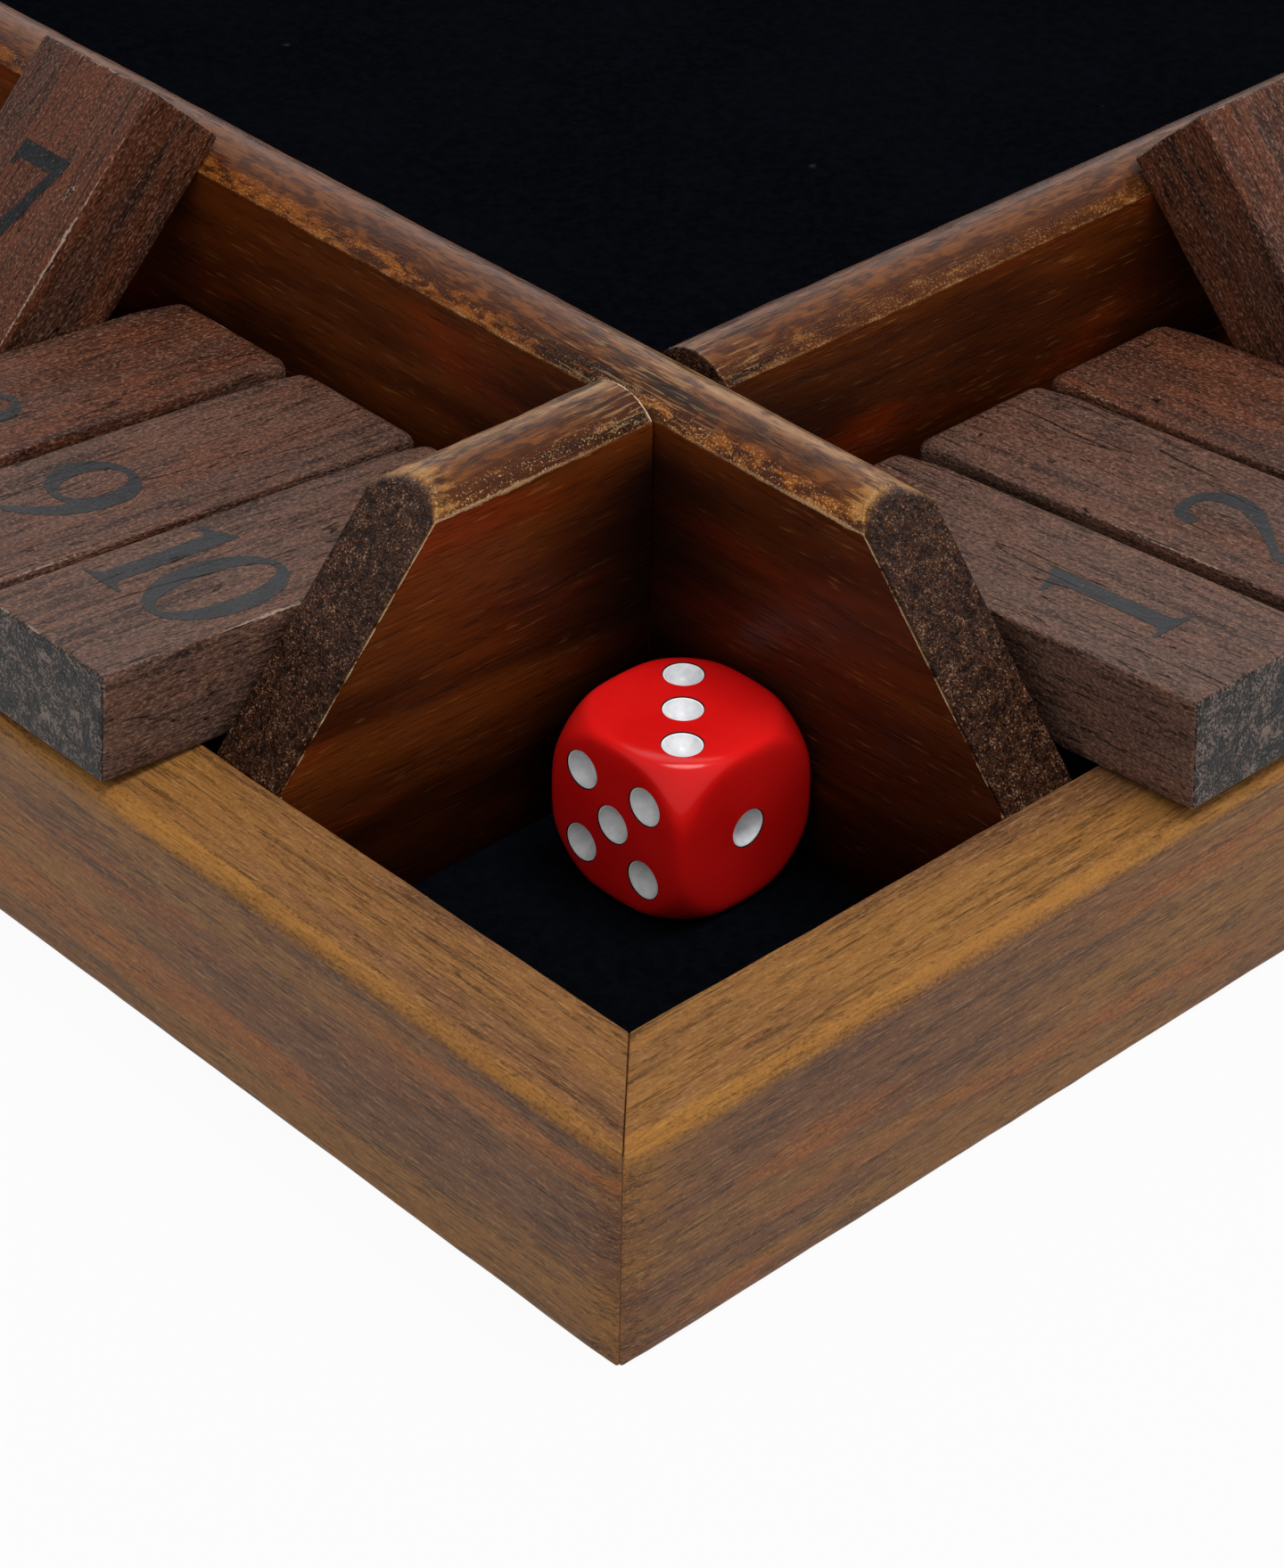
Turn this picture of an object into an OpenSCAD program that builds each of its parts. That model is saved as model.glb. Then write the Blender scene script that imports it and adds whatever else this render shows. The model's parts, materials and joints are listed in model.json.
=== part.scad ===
// Shut the box game for four players.
// A square tray of four mitred rails holds a base panel and a felt. Four dividers cross
// each other in half laps. Four rods each carry ten numbered tiles that flip inwards.
// Origin: centre of the tray, on the surface that it stands on. +Z is up.

/* [Tray] */
// Outer side of the square tray
tray_side = 300; // [280:1:340]
// Width of a rail, seen from above
rail_width = 10.5; // [9:0.1:13]
// Height of a rail
rail_height = 20.9; // [19:0.1:24]
// Radius of the rounded outer top edge of a rail
rail_edge_radius = 1.5; // [0.5:0.1:3]
// Depth of the rebate under the rail's inner edge, which the base panel fits
rebate_depth = 4; // [3:0.1:6]
// Gap between the base panel's edge and the rebate
panel_gap = 0.2; // [0.1:0.05:0.6]
// Height of the base panel's underside above the table
panel_recess = 1.2; // [0.6:0.1:2]
// Thickness of the base panel
panel_thickness = 3; // [2.4:0.1:3.6]
// Thickness of the felt
felt_thickness = 0.8; // [0.5:0.1:1.2]

/* [Dividers] */
// Clear width between a rail and the divider beside it
compartment = 41.2; // [40:0.1:46]
// Thickness of a divider
divider_thickness = 8.2; // [7:0.1:9.4]
// Height of a divider's ridge above the rails
divider_rise = 20.6; // [19:0.1:23]
// Height of the round crown on top of a divider
crown_rise = 1.9; // [1.4:0.1:3]
// Length of a divider's slanted end, seen from above
slant_run = 18.4; // [14:0.1:20]
// Gap on each side of a half lap
lap_gap = 0.15; // [0.05:0.05:0.3]

/* [Tiles] */
// Width of a tile
tile_width = 16.1; // [15.5:0.1:17]
// Thickness of a tile
tile_thickness = 10; // [9:0.1:10.6]
// Height of the hinge rods above the rails
hinge_rise = 3.6; // [3:0.1:4.4]
// Gap that the hinged end of a tile leaves above the felt as it swings
swing_gap = 0.5; // [0.3:0.1:1]
// Gap that the hinged end of a tile leaves beside its divider as it swings
divider_gap = 2.7; // [0.8:0.1:3]
// Distance from the tray's outer face to the end of a tile that lies out
nose_inset = 0.5; // [0:0.1:3]
// Gap between a tile at rest and the rail or crown under it
rest_gap = 0.15; // [0.1:0.05:0.3]

/* [Rods] */
// Diameter of a hinge rod
rod_diameter = 3; // [2.5:0.1:4]
// Radial play of a tile on its rod
rod_play = 0.08; // [0.04:0.01:0.1]
// Radial play of a rod in a divider
rod_fit = 0.02; // [0.01:0.01:0.05]
// Depth of the blind holes in the dividers for the rod ends
rod_hole_depth = 5; // [3:0.1:6]
// Gap between a rod's end and the bottom of its hole
rod_end_gap = 0.3; // [0.1:0.1:1]

/* [Dice] */
// Side of a die
die_side = 16; // [14:0.1:17]
// Diameter of the ball shape that rounds a die's corners
die_ball = 22.6; // [21.6:0.1:24]
// Distance of the outer pips from the middle of their face
pip_offset = 3.7; // [3:0.1:4]
// Depth of a pip
pip_depth = 0.5; // [0.3:0.1:0.8]
// Radius of a pip's rim
pip_radius = 1.6; // [1.2:0.1:1.8]
// Gap between a die and the two dividers next to it
die_gap = [0.5, 4.8]; // [0:0.1:6]

/* [Hidden] */
$fn = 64;
tile_count = 10;
felt_top = panel_recess + panel_thickness + felt_thickness;
half_side = tray_side / 2;
rail_inner = half_side - rail_width;
bridge = 1;  // how far a cutting shape runs past what it cuts

// A divider's two faces, its middle and the round of its crown
divider_outer = rail_inner - compartment;
divider_inner = divider_outer - divider_thickness;
divider_mid = (divider_outer + divider_inner) / 2;
divider_peak = rail_height + divider_rise;
crown_radius = (pow(divider_thickness / 2, 2) + pow(crown_rise, 2)) / (2 * crown_rise);
crown_axis_z = divider_peak - crown_radius;
lap_z = (felt_top + divider_peak) / 2;

// The hinge: the tile's hinged end swings clear of the felt and the divider
hinge_z = rail_height + hinge_rise;
swing_radius = hinge_z - felt_top - swing_gap;
tile_tail = sqrt(pow(swing_radius, 2) - pow(tile_thickness / 2, 2));
hinge_out = divider_outer + divider_gap + swing_radius;

// Angle of a tile that lies out on the rail's inner edge
rail_reach = rail_inner - hinge_out;
rail_dist = norm([rail_reach, hinge_rise]);
lie_angle = atan2(rail_reach, hinge_rise) - acos((tile_thickness / 2 + rest_gap) / rail_dist);
tile_nose = (half_side - nose_inset - hinge_out) / cos(lie_angle);

// Angle above level of a tile that leans inwards on the divider's crown
crown_reach = hinge_out - divider_mid;
crown_up = crown_axis_z - hinge_z;
crown_dist = norm([crown_reach, crown_up]);
lean_angle = atan2(crown_up, crown_reach)
    + asin((tile_thickness / 2 + crown_radius + rest_gap) / crown_dist);

// Each side of the tray: its name, its turn about Z, and the tile that leans inwards
SIDES = ["front", "left", "back", "right"];
SIDE_TURN = [0, -90, 180, 90];
SIDE_LEANING = [4, 7, 0, 0];

// Shares of the free width that go before tile 1, between the tiles, and after tile 10
SIDE_SHARES = [
    [2.6, 1.8, 1.1, 0.5, 1.9, 1.7, 2.1, 1.8, 2.0, 1.6, 2.1],
    [2.3, 1.9, 2.4, 1.7, 2.2, 2.0, 2.3, 0.5, 1.7, 0.9, 1.3],
    [1.5, 2.0, 1.6, 2.1, 1.8, 1.4, 2.2, 1.7, 1.5, 1.9, 1.5],
    [2.0, 1.4, 1.9, 1.7, 2.1, 1.5, 1.8, 2.0, 1.3, 1.6, 1.9]
];
row_width = 2 * divider_inner;
row_slack = row_width - tile_count * tile_width;

// The two dice: which corner of the tray each lies in
DICE = ["die_1", "die_2"];
DIE_TURN = [0, 180];
DIE_YAW = [0.8, 0];

RAILS = [for (side = SIDES) str("rail_", side)];
DIVIDERS = [for (side = SIDES) str("divider_", side)];
RODS = [for (side = SIDES) str("rod_", side)];
function tile_name(s, i) = str("tile_", SIDES[s], "_", i);
TILES = [for (s = [0:3]) for (i = [1:tile_count]) tile_name(s, i)];

function sum_to(list, n) = n == 0 ? 0 : list[n - 1] + sum_to(list, n - 1);

// Distance from the middle of side s to the near face of its tile i
function tile_start(s, i) = -row_width / 2 + (i - 1) * tile_width
    + row_slack * sum_to(SIDE_SHARES[s], i) / sum_to(SIDE_SHARES[s], tile_count + 1);

// Rail: an L-shaped section with a rounded outer top edge, mitred at both ends
module rail_section() {
    difference() {
        union() {
            translate([-half_side, 0])
                square([rail_width, rail_height - rail_edge_radius]);
            translate([-half_side + rail_edge_radius, 0])
                square([rail_width - rail_edge_radius, rail_height]);
            translate([-half_side + rail_edge_radius, rail_height - rail_edge_radius])
                circle(rail_edge_radius);
        }
        translate([-rail_inner - rebate_depth, -bridge])
            square([rebate_depth + bridge, panel_recess + panel_thickness + bridge]);
    }
}

module rail(s) {
    color("peru") rotate(SIDE_TURN[s]) intersection() {
        rotate([90, 0, 90]) linear_extrude(tray_side, center = true) rail_section();
        linear_extrude(rail_height) polygon([
            [-half_side, -half_side], [half_side, -half_side],
            [rail_inner - rebate_depth, -rail_inner + rebate_depth],
            [-rail_inner + rebate_depth, -rail_inner + rebate_depth]
        ]);
    }
}

module base_panel() {
    side = 2 * (rail_inner + rebate_depth - panel_gap);
    color("burlywood") translate([-side / 2, -side / 2, panel_recess])
        cube([side, side, panel_thickness]);
}

module felt() {
    color("black") translate([-rail_inner, -rail_inner, panel_recess + panel_thickness])
        cube([2 * rail_inner, 2 * rail_inner, felt_thickness]);
}

// Divider of the front side: it runs along X and is closed by the slanted ends
module divider_blank() {
    intersection() {
        rotate([90, 0, 90]) linear_extrude(2 * rail_inner, center = true) union() {
            translate([-divider_thickness / 2, felt_top])
                square([divider_thickness, divider_peak - crown_rise - felt_top]);
            intersection() {
                translate([0, crown_axis_z]) circle(crown_radius);
                translate([-divider_thickness / 2, divider_peak - crown_rise])
                    square([divider_thickness, crown_rise]);
            }
        }
        rotate([90, 0, 0]) linear_extrude(2 * divider_thickness, center = true) polygon([
            [-rail_inner, felt_top], [rail_inner, felt_top], [rail_inner, rail_height],
            [rail_inner - slant_run, divider_peak], [-rail_inner + slant_run, divider_peak],
            [-rail_inner, rail_height]
        ]);
    }
}

// A side's divider has blind holes in its outer stretches for the rods of the sides next
// to it. The front and back dividers are lapped from above, the left and right from below.
module divider(s) {
    lapped_above = s % 2 == 0;
    lap_width = divider_thickness + 2 * lap_gap;
    lap_low = lapped_above ? lap_z : felt_top - bridge;
    lap_tall = divider_peak - felt_top + bridge;
    color("saddlebrown") rotate(SIDE_TURN[s]) translate([0, -divider_mid, 0]) difference() {
        divider_blank();
        for (x = [-divider_mid, divider_mid]) {
            lap_high = lapped_above ? lap_low + lap_tall : lap_z;
            translate([x - lap_width / 2, -divider_thickness, lap_low])
                cube([lap_width, 2 * divider_thickness, lap_high - lap_low]);
        }
        for (x = [-hinge_out, hinge_out])
            translate([x, divider_thickness / 2 - rod_hole_depth, hinge_z]) rotate([-90, 0, 0])
                cylinder(h = rod_hole_depth + bridge, r = rod_diameter / 2 + rod_fit);
    }
}

module rod(s) {
    span = row_width + 2 * (rod_hole_depth - rod_end_gap);
    color("silver") rotate(SIDE_TURN[s]) translate([0, -hinge_out, hinge_z])
        rotate([0, 90, 0]) cylinder(h = span, d = rod_diameter, center = true);
}

// Tile: it points outwards from the hinge, or inwards where it leans on the crown
module tile(s, i) {
    swing = i == SIDE_LEANING[s] ? 180 - lean_angle : lie_angle;
    color("rosybrown") rotate(SIDE_TURN[s])
        translate([tile_start(s, i), -hinge_out, hinge_z]) rotate([-swing, 0, 0])
            difference() {
                translate([0, -tile_nose, -tile_thickness / 2])
                    cube([tile_width, tile_nose + tile_tail, tile_thickness]);
                translate([-bridge, 0, 0]) rotate([0, 90, 0])
                    cylinder(h = tile_width + 2 * bridge, r = rod_diameter / 2 + rod_play);
            }
}

// Pips of each face, as steps of pip_offset from the face's middle
PIPS_1 = [[0, 0]];
PIPS_2 = [[-1, 1], [1, -1]];
PIPS_3 = concat(PIPS_1, [[-1, -1], [1, 1]]);
PIPS_4 = [[-1, -1], [-1, 1], [1, -1], [1, 1]];
PIPS_5 = concat(PIPS_1, PIPS_4);
PIPS_6 = concat(PIPS_4, [[-1, 0], [1, 0]]);

// Pips cut as shallow caps of a ball into the face that rotation turn brings to the top
module face_pips(turn, spots) {
    ball = (pow(pip_radius, 2) + pow(pip_depth, 2)) / (2 * pip_depth);
    for (spot = spots) rotate(turn)
        translate([spot.x * pip_offset, spot.y * pip_offset, die_side / 2 - pip_depth + ball])
            sphere(ball);
}

module die(d) {
    x = divider_outer + die_gap[0] + die_side / 2;
    y = divider_outer + die_gap[1] + die_side / 2;
    color("red") rotate(DIE_TURN[d]) translate([-x, -y, felt_top + die_side / 2])
        rotate(DIE_YAW[d]) difference() {
            intersection() {
                cube(die_side, center = true);
                sphere(d = die_ball);
            }
            face_pips([0, 0, 0], PIPS_3);
            face_pips([180, 0, 0], PIPS_4);
            face_pips([90, 0, 0], PIPS_1);
            face_pips([-90, 0, 0], PIPS_6);
            face_pips([0, -90, 0], PIPS_5);
            face_pips([0, 90, 0], PIPS_2);
        }
}

base_panel();
felt();
for (s = [0:3]) {
    rail(s);
    divider(s);
    rod(s);
    for (i = [1:tile_count])
        tile(s, i);
}
for (d = [0:1])
    die(d);

echo(hinge_out = hinge_out, hinge_z = hinge_z, lie = lie_angle, lean = lean_angle,
    nose = tile_nose, tail = tile_tail, slack = row_slack);
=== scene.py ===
import json
import math
import random
import bpy
import bmesh
from mathutils import Matrix, Vector, noise


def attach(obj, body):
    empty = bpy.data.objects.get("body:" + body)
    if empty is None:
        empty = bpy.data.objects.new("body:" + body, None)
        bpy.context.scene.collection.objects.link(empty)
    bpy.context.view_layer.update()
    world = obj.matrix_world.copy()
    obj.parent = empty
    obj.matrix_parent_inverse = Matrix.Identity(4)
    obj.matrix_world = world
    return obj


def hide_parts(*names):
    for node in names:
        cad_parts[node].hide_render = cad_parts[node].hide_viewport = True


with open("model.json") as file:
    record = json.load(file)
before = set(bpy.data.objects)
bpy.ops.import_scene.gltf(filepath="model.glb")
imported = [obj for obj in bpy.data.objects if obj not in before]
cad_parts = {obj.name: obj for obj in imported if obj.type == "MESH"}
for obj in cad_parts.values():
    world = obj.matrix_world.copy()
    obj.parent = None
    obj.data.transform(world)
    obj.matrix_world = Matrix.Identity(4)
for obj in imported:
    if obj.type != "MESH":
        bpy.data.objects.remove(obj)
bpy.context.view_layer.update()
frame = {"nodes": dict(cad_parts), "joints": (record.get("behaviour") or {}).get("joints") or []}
mm = 0.001
firstSeed = {"rail": 11, "divider": 21, "tile": 100, "die": 400}


class Signal:
    # Wraps a node's output, so that sums in Python add the nodes to its tree.
    def __init__(self, tree, socket=None):
        self.tree = tree
        self.socket = socket

    def feed(self, target, value):  # links another node's output, or sets a plain value
        if isinstance(value, Signal):
            self.tree.links.new(value.socket, target)
        else:
            target.default_value = value

    def node(self, kind, settings=None, sockets=None, output=0):
        made = self.tree.nodes.new(kind)
        for name, value in (settings or {}).items():
            setattr(made, name, value)
        for name, value in (sockets or {}).items():
            self.feed(made.inputs[name], value)
        return Signal(self.tree, made.outputs[output])

    def maths(self, operation, *values):
        return self.node("ShaderNodeMath", {"operation": operation}, dict(enumerate(values)))

    def __add__(self, other):
        return self.maths("ADD", self, other)

    def __radd__(self, other):
        return self.maths("ADD", other, self)

    def __sub__(self, other):
        return self.maths("SUBTRACT", self, other)

    def __rsub__(self, other):
        return self.maths("SUBTRACT", other, self)

    def __mul__(self, other):
        return self.maths("MULTIPLY", self, other)

    def __abs__(self):
        return self.maths("ABSOLUTE", self)

    def vector(self, operation, *others, output=0):
        return self.node("ShaderNodeVectorMath", {"operation": operation},
                         dict(enumerate((self,) + others)), output)

    def combine(self, *parts):
        return self.node("ShaderNodeCombineXYZ", None, dict(enumerate(parts)))

    def part(self, axis):
        return self.node("ShaderNodeSeparateXYZ", None, {0: self}, axis)

    def between(self, low, high, start=0.0, end=1.0):  # soft step from low to high
        return self.node("ShaderNodeMapRange", {"interpolation_type": "SMOOTHSTEP"},
                         {0: self, 1: low, 2: high, 3: start, 4: end})

    def ray(self, kind):
        return self.node("ShaderNodeLightPath", None, None, "Is " + kind + " Ray")


def paint(red, green, blue):  # a colour as a screen shows it, 0 to 255
    def linear(value):
        value = value / 255
        return value / 12.92 if value <= 0.04045 else ((value + 0.055) / 1.055) ** 2.4
    return (linear(red), linear(green), linear(blue), 1)


def blendColour(amount, below, above):
    return amount.node("ShaderNodeMix", {"data_type": "RGBA"}, {0: amount, 6: below, 7: above}, 2)


def layColours(below, colours, *layers):  # each layer says how much of which colour
    for amount, name in layers:
        below = blendColour(amount, below, colours[name])
    return below


class Finish(Signal):
    # A material whose principled shader is filled in by give().
    def __init__(self, name):
        self.material = bpy.data.materials.new(name)
        self.material.use_nodes = True
        super().__init__(self.material.node_tree)
        self.shader = self.tree.nodes["Principled BSDF"]

    def give(self, **values):
        for name, value in values.items():
            self.feed(self.shader.inputs[name.replace("_", " ")], value)
        return self.material

    def mark(self, name, output="Fac"):  # an attribute that the mesh carries
        return self.node("ShaderNodeAttribute", {"attribute_name": name}, None, output)

    def local(self, axis):
        return self.mark("local", "Vector").part(axis)

    def place(self, spread=137.0):
        # millimetres along, across and up the piece, shifted so that no two pieces match
        shift = self.node("ShaderNodeVectorMath", {"operation": "SCALE"},
                          {0: self.mark("piece", "Vector"), "Scale": spread})
        return self.mark("local", "Vector").vector("ADD", shift)

    def cloud(self, place, scale, detail=3.0, rough=0.5, bend=0.0):
        return self.node("ShaderNodeTexNoise", None, {"Vector": place, "Scale": scale,
                         "Detail": detail, "Roughness": rough, "Distortion": bend})

    def grain(self, place, along, across, detail=4.0, rough=0.5, bend=0.0):
        drawn = place.vector("MULTIPLY", (along, across, across))
        return self.cloud(drawn, 1.0, detail, rough, bend)

    def bump(self, height, depth, strength=1.0):
        return self.node("ShaderNodeBump", None,
                         {"Height": height, "Distance": depth, "Strength": strength})


def addObject(name, content):
    made = bpy.data.objects.new(name, content)
    bpy.context.scene.collection.objects.link(made)
    return made


def spin(degrees, axis="Z"):
    return Matrix.Rotation(math.radians(degrees), 4, axis)


view = {
    "place": (-0.3117, -0.3192, 0.2171),
    "right": (0.7281, -0.6853, 0.0162),
    "up": (0.3826, 0.4259, 0.8198),
    "lens": 97.4,
    "skyForObject": 0.29,   # strength of the white surroundings as the object receives it
    "frontSide": (-0.62, -0.62, 0.42),   # and how much more comes from the wall in front
    "frontSky": 0.60,
    "brightSide": (0.6, 0.6, 0.3),   # where gloss finds a white wall
    "darkSide": 0.22,                # how much of it is left on the other side
    "glintSide": (0.0, -0.06, 1.0),  # where gloss finds the lamp instead, kept small and crisp
    "glint": 5.0,
    "lampPower": 8.9,
    "lampSize": 0.55,
    "lampPlace": (0.12, -0.38, 1.25),
    "floorReach": 6.0,
    "floorShade": (0.55, 0.55, 0.55, 1),
    "floorGlow": 0.95,      # share of the floor that stays plain white under a shadow
}


def pointCamera():
    camera = addObject("camera", bpy.data.cameras.new("camera"))
    right = Vector(view["right"]).normalized()
    up = Vector(view["up"])
    up = (up - right * up.dot(right)).normalized()
    turn = Matrix((right, up, right.cross(up))).transposed()
    camera.matrix_world = Matrix.Translation(view["place"]) @ turn.to_4x4()
    camera.data.lens = view["lens"]
    camera.data.sensor_width = 36
    camera.data.clip_start = 0.01
    bpy.context.scene.camera = camera


def lightStudio():
    bpy.context.scene.view_settings.view_transform = "Standard"
    world = bpy.data.worlds.new("softBox")
    bpy.context.scene.world = world
    world.use_nodes = True
    sky = Signal(world.node_tree)
    way = sky.node("ShaderNodeTexCoord", None, None, "Generated")

    def facing(side):  # 1 where a ray goes straight towards that side
        return way.vector("DOT_PRODUCT", Vector(view[side]).normalized(), output=1)

    plain = sky.maths("MAXIMUM", sky.ray("Camera"), sky.ray("Transmission"))
    glossy = sky.ray("Glossy")
    wall = facing("brightSide").between(0.50, 0.85, view["darkSide"], 1.0)
    wall = wall + facing("glintSide").between(0.970, 0.985, 0.0, view["glint"])
    front = facing("frontSide").between(0.2, 0.9, view["skyForObject"],
                                        view["skyForObject"] + view["frontSky"])
    strength = sky.maths("MAXIMUM", plain, glossy * wall)
    strength = strength + (1 - plain) * (1 - glossy) * front
    background = world.node_tree.nodes["Background"]
    sky.feed(background.inputs["Color"], (1, 1, 1, 1))
    sky.feed(background.inputs["Strength"], strength)
    lamp = addObject("softLamp", bpy.data.lights.new("softLamp", "AREA"))
    lamp.data.shape = "DISK"
    lamp.data.size = view["lampSize"]
    lamp.data.energy = view["lampPower"]
    lamp.visible_glossy = False
    away = Vector(view["lampPlace"])
    lamp.location = away
    lamp.rotation_euler = away.to_track_quat("Z", "Y").to_euler()


def layFloor():
    sheet = bpy.data.meshes.new("floor")
    reach = view["floorReach"]
    sheet.from_pydata([(-reach, -reach, 0), (reach, -reach, 0), (reach, reach, 0),
                       (-reach, reach, 0)], [], [(0, 1, 2, 3)])
    floor = addObject("floor", sheet)
    look = Finish("paperFloor")
    look.give(Base_Color=view["floorShade"], Roughness=0.9, Specular_IOR_Level=0.1)
    glow = look.node("ShaderNodeEmission", None, {"Color": (1, 1, 1, 1), "Strength": 1.0})
    seen = look.maths("MAXIMUM", look.ray("Camera"), look.ray("Glossy"))
    mixed = look.node("ShaderNodeMixShader", None, {
        0: seen * view["floorGlow"], 1: Signal(look.tree, look.shader.outputs[0]), 2: glow})
    look.feed(look.tree.nodes["Material Output"].inputs["Surface"], mixed)
    sheet.materials.append(look.material)


pointCamera()
lightStudio()
layFloor()
print("camera, light and floor are set")

bar = {
    "support": 0.35,     # a plain row this far beyond a rounded edge keeps it crisp
    "endSteps": 4,
    "slowWobble": 0.16,  # waves for each millimetre
    "quickWobble": 0.7,
    "weld": 0.0005,
}


def roundProfile(corners, steps):
    # corners: (across, up, radius, wear) anticlockwise; gives points with their outward
    # normals and wear, with a plain point on each side of a rounded corner. The last three
    # say how far a point may be moved inwards, and which way it goes from there on.
    points = []
    support = bar["support"]
    for i, (y, z, radius, wear) in enumerate(corners):
        here = Vector((y, z))
        before = here - Vector(corners[i - 1][:2])
        after = Vector(corners[(i + 1) % len(corners)][:2]) - here
        roomBefore, roomAfter = before.length / 2, after.length / 2
        before.normalize()
        after.normalize()
        turn = math.atan2(before.x * after.y - before.y * after.x, before.dot(after))
        out = Vector((before.y, -before.x))
        outAfter = Vector((after.y, -after.x))
        if radius <= 0:
            points.append((*here, *(out + outAfter).normalized(), wear, 99.0, 0.0, 0.0))
            continue
        slope = math.tan(turn / 2)
        tangent = radius * slope
        centre = here - before * tangent - out * radius
        mitre = tuple(-(out + outAfter) / (1 + out.dot(outAfter)))
        far = (tangent + support) / slope
        beyond = here - before * (tangent + support), here + after * (tangent + support)
        if roomBefore > tangent + support * 1.5:
            points.append((*beyond[0], *out, 0.0, far, *mitre))
        for k in range(steps + 1):
            way = Matrix.Rotation(turn * k / steps, 2) @ out
            spot = centre + way * radius
            rubbed = wear * (0.3 + 0.7 * math.sin(math.pi * (k + 0.5) / (steps + 1)))
            points.append((*spot, *way, rubbed, radius, *mitre))
        if roomAfter > tangent + support * 1.5:
            points.append((*beyond[1], *outAfter, 0.0, far, *mitre))
    return points


def endRings():
    # each ring's depth and inset in shares of the rim's radius and in plain millimetres,
    # its wear, and how much of it is end grain
    rings = [(0.0, 1.0, 0.0, 0.3, 0.0, 1.0)]
    steps = bar["endSteps"]
    for k in range(steps + 1):
        angle = math.pi / 2 * k / steps
        rings.append((1 - math.cos(angle), 1 - math.sin(angle), 0.0, 0.0,
                      1.0, min(max(1.5 - 2 * k / steps, 0.0), 1.0)))
    return rings + [(1.0, 0.0, 0.12, 0.0, 0.2, 0.0), (1.0, 0.0, bar["support"], 0.0, 0.0, 0.0)]


def barPoints(profile, ends, spacing, wobble, seed, corner):
    support = bar["support"]
    (lowEnd, lowRadius, *rest), (highEnd, highRadius, *rest) = ends
    reach = max(highEnd(y, z) - lowEnd(y, z) for y, z, *rest in profile)
    middle = max(int(reach / spacing), 2)
    rings = endRings()
    sections = [(0, ring) for ring in rings]
    sections += [(None, k / middle) for k in range(1, middle)]
    sections += [(1, ring) for ring in reversed(rings)]
    points, wears, cuts = [], [], []
    for end, value in sections:
        for y, z, ny, nz, wear, room, my, mz in profile:
            if end is None:
                low = lowEnd(y, z) + lowRadius(z) + support
                high = highEnd(y, z) - highRadius(z) - support
                spot = Vector((low + (high - low) * value, y, z))
                wears.append(wear)
                cuts.append(0.0)
            else:
                place, radius, endWear, endCut = ends[end]
                depth, inset, plainDepth, plainInset, ringWear, ringCut = value
                depth = depth * radius(z) + plainDepth
                inset = inset * radius(z) + plainInset
                over = max(inset - room, 0)
                v = y - ny * (inset - over) + my * over
                w = z - nz * (inset - over) + mz * over
                spot = Vector((place(v, w), v, w))
                wears.append(max(wear if inset <= 0 else 0.0, ringWear * endWear(w)))
                cuts.append(ringCut * endCut)
            shake = noise.noise(spot * bar["slowWobble"] + Vector((seed * 7.3, 0, 0)))
            shake += 0.5 * noise.noise(spot * bar["quickWobble"] + Vector((seed * 3.1, 5, 0)))
            push = wobble * shake * (0.25 + 0.75 * min(wear, 1.0))
            if end is not None:  # the flat of the end keeps its shape
                push *= max(1 - inset / min(room, 0.8), 0)
            spot += Vector((0, ny, nz)) * push
            if end is not None:
                spot.x = place(spot.y, spot.z) + (-depth if end else depth)
            points.append(corner(spot) if corner else spot)
    return points, wears, cuts


def sweepBar(profile, ends, spacing, wobble, seed, corner=None, even=False):
    # ends: for the low and the high end its place along x at (across, up), the radius and
    # the wear of its rim at a height, and its share of end grain. Returns the points in
    # millimetres, the faces, and the marks wear and endGrain.
    points, wears, cuts = barPoints(profile, ends, spacing, wobble, seed, corner)
    count = len(profile)
    last = len(points) - count
    faces = []
    for start in range(0, last, count):
        for j in range(count):
            k = (j + 1) % count
            faces.append((start + j, start + k, start + count + k, start + count + j))
    if even:  # the profile's halves mirror each other, so rungs join them
        rungs = [(j, j + 1, count - 2 - j, count - 1 - j) for j in range(count // 2 - 1)]
        if count % 2:
            rungs.append((count // 2 - 1, count // 2, count // 2 + 1))
    else:
        rungs = [tuple(range(count))]
    for rung in rungs:
        faces += [tuple(reversed(rung)), tuple(i + last for i in rung)]
    return points, faces, wears, cuts


def steady(value):  # the same at any height
    return lambda z: value


def ownNumbers(seed):
    chance = random.Random(seed)
    return [chance.random(), chance.random(), chance.random()]


def markMesh(mesh, own, wears=None, cuts=None):
    count = len(mesh.vertices)
    local = mesh.attributes.new("local", "FLOAT_VECTOR", "POINT")
    flat = [0.0] * (count * 3)
    mesh.vertices.foreach_get("co", flat)
    local.data.foreach_set("vector", flat)
    for label, values in (("wear", wears), ("endGrain", cuts)):
        mark = mesh.attributes.new(label, "FLOAT", "POINT")
        mark.data.foreach_set("value", values or [0.0] * count)
    markPiece(mesh, own)


def markPiece(mesh, own):
    mark = mesh.attributes.new("piece", "FLOAT_VECTOR", "POINT")
    mark.data.foreach_set("vector", own * len(mesh.vertices))


def solidMesh(name, solid):  # the solid as a mesh, its faces turned outwards
    bmesh.ops.recalc_face_normals(solid, faces=solid.faces)
    mesh = bpy.data.meshes.new(name)
    solid.to_mesh(mesh)
    solid.free()
    return mesh


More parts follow.
